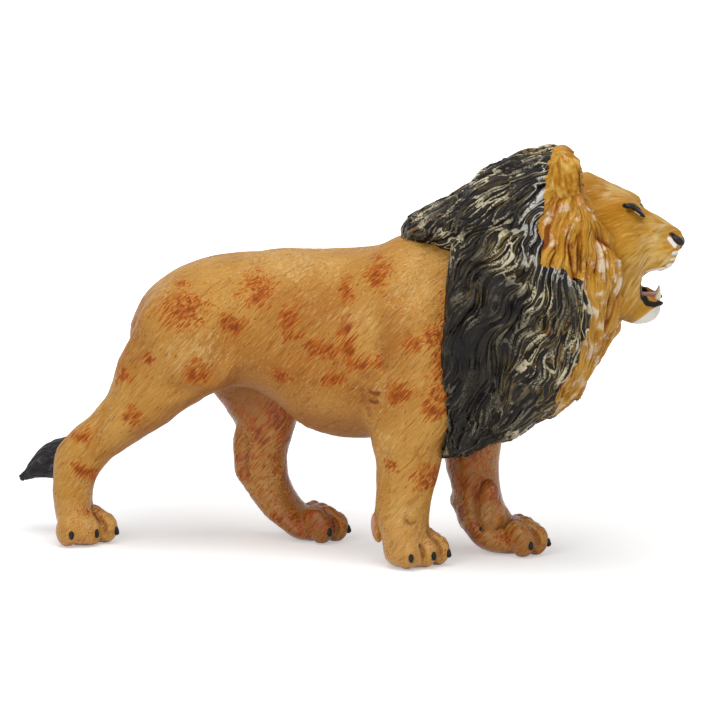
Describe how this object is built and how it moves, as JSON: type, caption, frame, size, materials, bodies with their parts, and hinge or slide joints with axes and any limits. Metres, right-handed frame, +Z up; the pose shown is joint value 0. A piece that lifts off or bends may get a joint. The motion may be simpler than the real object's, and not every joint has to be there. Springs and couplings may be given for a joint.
{
  "type": "toy lion figure",
  "caption": "Painted toy male lion walking with its mouth open: torso shells, plugged-in legs, dark mane collar, golden ruff, turned head and tufted tail.",
  "frame": {"origin": "middle of the footprint of the whole figure, on the floor", "axes": "+X the way the lion walks, +Y its left side, +Z up"},
  "size_m": [0.2328, 0.0612, 0.1461],
  "materials": {
    "coat": "satin tan paint with fine hair lines, orange brown dry brushed streaks and rust in the creases",
    "face_coat": "satin golden tan paint with pale highlights and white round the mouth",
    "gold_hair": "satin golden ochre hair with pale and rust orange dry brushed locks",
    "dark_hair": "near black wavy strands dry brushed with cream, silver and olive gold",
    "tuft_hair": "charcoal strands dry brushed with purple grey",
    "nose_black": "black nose leather with a soft gloss",
    "eye_black": "glossy dark eye with a small white glint",
    "tongue_pink": "dull pink with a soft gloss",
    "tooth_cream": "cream paint"
  },
  "bodies": {
    "root": {"torso_right_shell": "coat", "torso_left_shell": "coat", "front_leg_right": "coat", "front_leg_left": "coat", "hind_leg_right": "coat", "hind_leg_left": "coat", "tail_stem": "coat", "tail_tuft": "tuft_hair", "mane_collar": "dark_hair", "face_ruff": "gold_hair", "head": "face_coat", "lower_jaw": "face_coat", "tongue": "tongue_pink", "nose_pad": "nose_black", "ear_right": "gold_hair", "ear_left": "gold_hair", "eye_right": "eye_black", "eye_left": "eye_black", "lower_canine_right": "tooth_cream", "lower_canine_left": "tooth_cream"}
  },
  "joints": []
}
